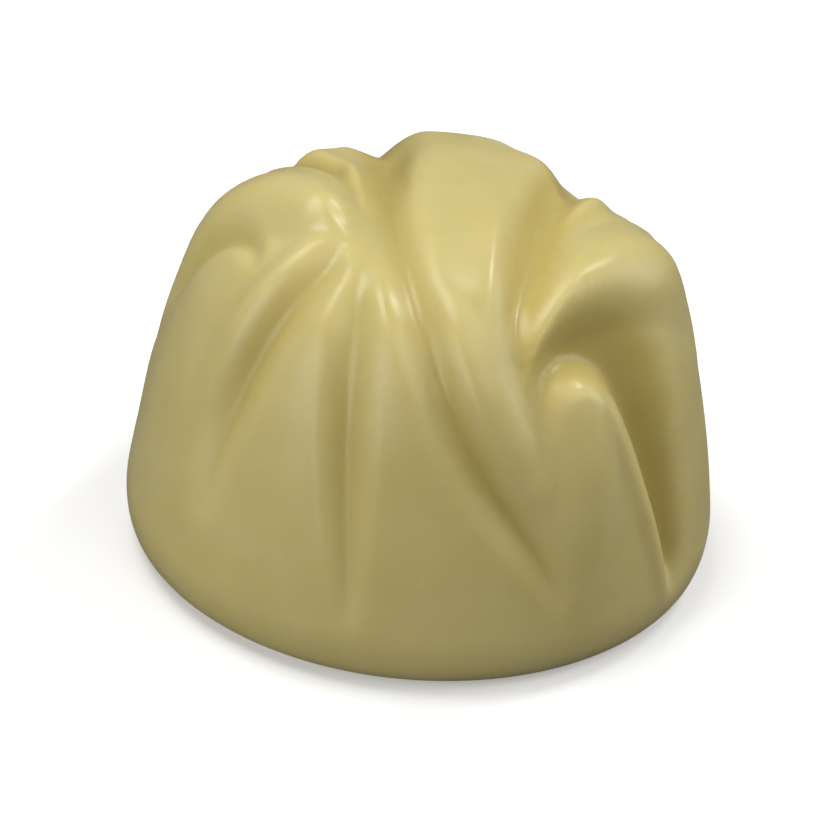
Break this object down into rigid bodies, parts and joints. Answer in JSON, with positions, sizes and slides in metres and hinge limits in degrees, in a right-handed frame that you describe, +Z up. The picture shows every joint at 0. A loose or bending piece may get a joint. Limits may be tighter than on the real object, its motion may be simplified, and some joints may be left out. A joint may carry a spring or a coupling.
{
  "type": "moulded white chocolate truffle",
  "caption": "Small flat-bottomed dome of moulded white chocolate with soft, pleated folds gathered towards the crown and a hooked arch fold on one flank.",
  "frame": {"origin": "centre of the flat base, on the surface that the truffle stands on", "axes": "+Z up through the crown; -Y towards the side seen in the picture, with the fan of valleys left of centre; +X to that side's right, where the arch fold is"},
  "size_m": [0.03, 0.03, 0.0204],
  "materials": {
    "white_chocolate": "moulded white chocolate with a soft satin gloss"
  },
  "bodies": {
    "root": {"truffle": "white_chocolate"}
  },
  "joints": []
}
